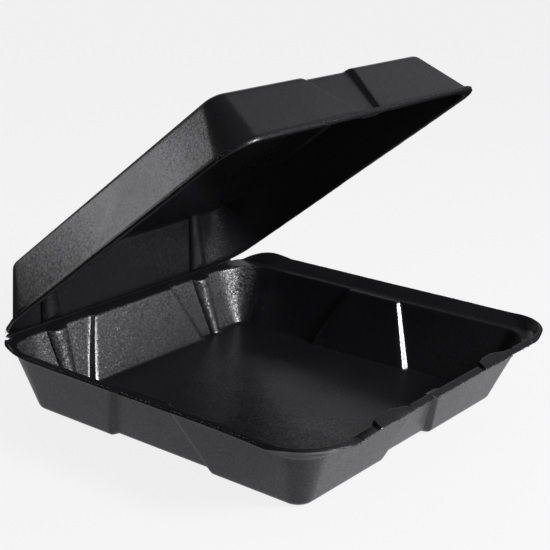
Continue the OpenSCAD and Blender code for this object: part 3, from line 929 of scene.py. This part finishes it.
# floor, lights and background, in m
studio = {
    "floorHalf": 6.0, "floorDrop": 0.0003, "paper": (0.985, 0.985, 0.99, 1), "cool": (0.955, 0.955, 1.0, 1),
    "floorTone": 0.35, "floorSeen": 0.035, "floorMirror": 0.008, "glowSeen": 0.855,
    "poolMiddle": (0.05, -0.15, 0.0), "poolFall": (0.12, 0.19), "poolGlow": (0.86, 0.50),
    "nearMiddle": (-0.10, -0.12, 0.0), "nearFall": (0.25, 0.34), "nearShare": (1.0, 0.02),
    "sky": (0.16, 0.05), "skyFall": (0.0, 0.8), "ambient": 0.8,
    "aim": (0.0, 0.0, 0.06), "lampTint": (0.97, 0.97, 1.0),
}
lamps = {
    "frontBox": {"place": (0.15, -0.87, 0.60), "size": (0.28, 0.24), "watts": 28.0},
    "leftBox": {"place": (-0.28, 0.88, 0.27), "size": (0.32, 0.20), "watts": 0.58},
    "backBox": {"place": (0.95, 0.72, 0.42), "size": (0.8, 0.4), "watts": 0.42},
    "fill": {"place": (0.75, -0.10, 0.75), "size": (0.6, 0.6), "watts": 0.35},
}


def softBox(name, box):
    lamp = bpy.data.lights.new(name, "AREA")
    lamp.shape = "RECTANGLE"
    lamp.size, lamp.size_y = box["size"]
    lamp.energy = box["watts"]
    lamp.color = studio["lampTint"]
    holder = bpy.data.objects.new(name, lamp)
    holder.location = box["place"]
    holder.rotation_euler = (Vector(studio["aim"]) - holder.location).to_track_quat("-Z", "Y").to_euler()
    scene.collection.objects.link(holder)


def makeFloor():
    half, z = studio["floorHalf"], -studio["floorDrop"]
    mesh = bpy.data.meshes.new("studioFloor")
    places = [(-half, -half, z), (half, -half, z), (half, half, z), (-half, half, z)]
    mesh.from_pydata(places, [], [(0, 1, 2, 3)])
    floor = bpy.data.objects.new("studioFloor", mesh)
    scene.collection.objects.link(floor)
    mat = bpy.data.materials.new("floorPaper")
    mat.use_nodes = True
    tree = mat.node_tree
    tree.nodes.clear()
    out = addNode(tree, "ShaderNodeOutputMaterial")
    paper = addNode(tree, "ShaderNodeBsdfDiffuse")
    glow = addNode(tree, "ShaderNodeEmission")
    path = addNode(tree, "ShaderNodeLightPath")
    seen, mirrored = path.outputs["Is Camera Ray"], path.outputs["Is Glossy Ray"]
    tone = mixNode(tree, "FLOAT", seen, studio["floorTone"], studio["floorSeen"])
    join(tree, mixNode(tree, "FLOAT", mirrored, tone, studio["floorMirror"]), paper.inputs["Color"])
    # what the foam mirrors is a little cooler
    join(tree, mixNode(tree, "RGBA", seen, studio["cool"], studio["paper"]), glow.inputs["Color"])
    where = addNode(tree, "ShaderNodeTexCoord")

    def around(patch, ends):  # a soft round patch on the paper
        shifted = vectorNode(tree, "SUBTRACT", where.outputs["Object"], studio[patch + "Middle"])
        far = addNode(tree, "ShaderNodeVectorMath", operation="LENGTH")
        join(tree, shifted, far.inputs[0])
        return rangeNode(tree, far.outputs["Value"], studio[patch + "Fall"], ends, "SMOOTHSTEP")

    # a bright pool before the front wall, and all of it fades away from the object
    pool = mathNode(tree, "MULTIPLY", around("pool", studio["poolGlow"]), around("near", studio["nearShare"]))
    glowing = mathNode(tree, "ADD", mathNode(tree, "MULTIPLY", seen, studio["glowSeen"]),
                       mathNode(tree, "MULTIPLY", mirrored, pool))
    join(tree, glowing, glow.inputs["Strength"])
    both = addNode(tree, "ShaderNodeAddShader")
    join(tree, paper.outputs["BSDF"], both.inputs[0])
    join(tree, glow.outputs["Emission"], both.inputs[1])
    join(tree, both.outputs["Shader"], out.inputs["Surface"])
    mesh.materials.append(mat)


def makeWorld():
    world = bpy.data.worlds.new("studioWorld")
    scene.world = world
    world.use_nodes = True
    tree = world.node_tree
    tree.nodes.clear()
    out = addNode(tree, "ShaderNodeOutputWorld")
    sky = addNode(tree, "ShaderNodeBackground")
    paper = addNode(tree, "ShaderNodeBackground")
    setInputs(sky, Color=studio["paper"])
    setInputs(paper, Color=studio["paper"], Strength=1.0)
    place = addNode(tree, "ShaderNodeTexCoord")
    split = addNode(tree, "ShaderNodeSeparateXYZ")
    join(tree, place.outputs["Generated"], split.inputs["Vector"])
    fall = rangeNode(tree, split.outputs["Z"], studio["skyFall"], studio["sky"])
    path = addNode(tree, "ShaderNodeLightPath")
    # the room lights all round, but is dim where mirrored
    strength = mixNode(tree, "FLOAT", path.outputs["Is Glossy Ray"], studio["ambient"], fall)
    join(tree, strength, sky.inputs["Strength"])
    pick = addNode(tree, "ShaderNodeMixShader")
    join(tree, path.outputs["Is Camera Ray"], pick.inputs[0])
    join(tree, sky.outputs["Background"], pick.inputs[1])
    join(tree, paper.outputs["Background"], pick.inputs[2])
    join(tree, pick.outputs["Shader"], out.inputs["Surface"])


for lampName, lampBox in lamps.items():
    softBox(lampName, lampBox)
makeFloor()
makeWorld()
scene.view_settings.view_transform = "Standard"
print("studio lit")

# bodies
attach(trayShell, "base")
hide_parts("base_tray")
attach(lidShell, "lid")
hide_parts("lid")
for piece in trayNubs:
    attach(piece, "base")
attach(lidNubs, "lid")
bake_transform(hingeCrease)

print("pieces ride on their bodies")
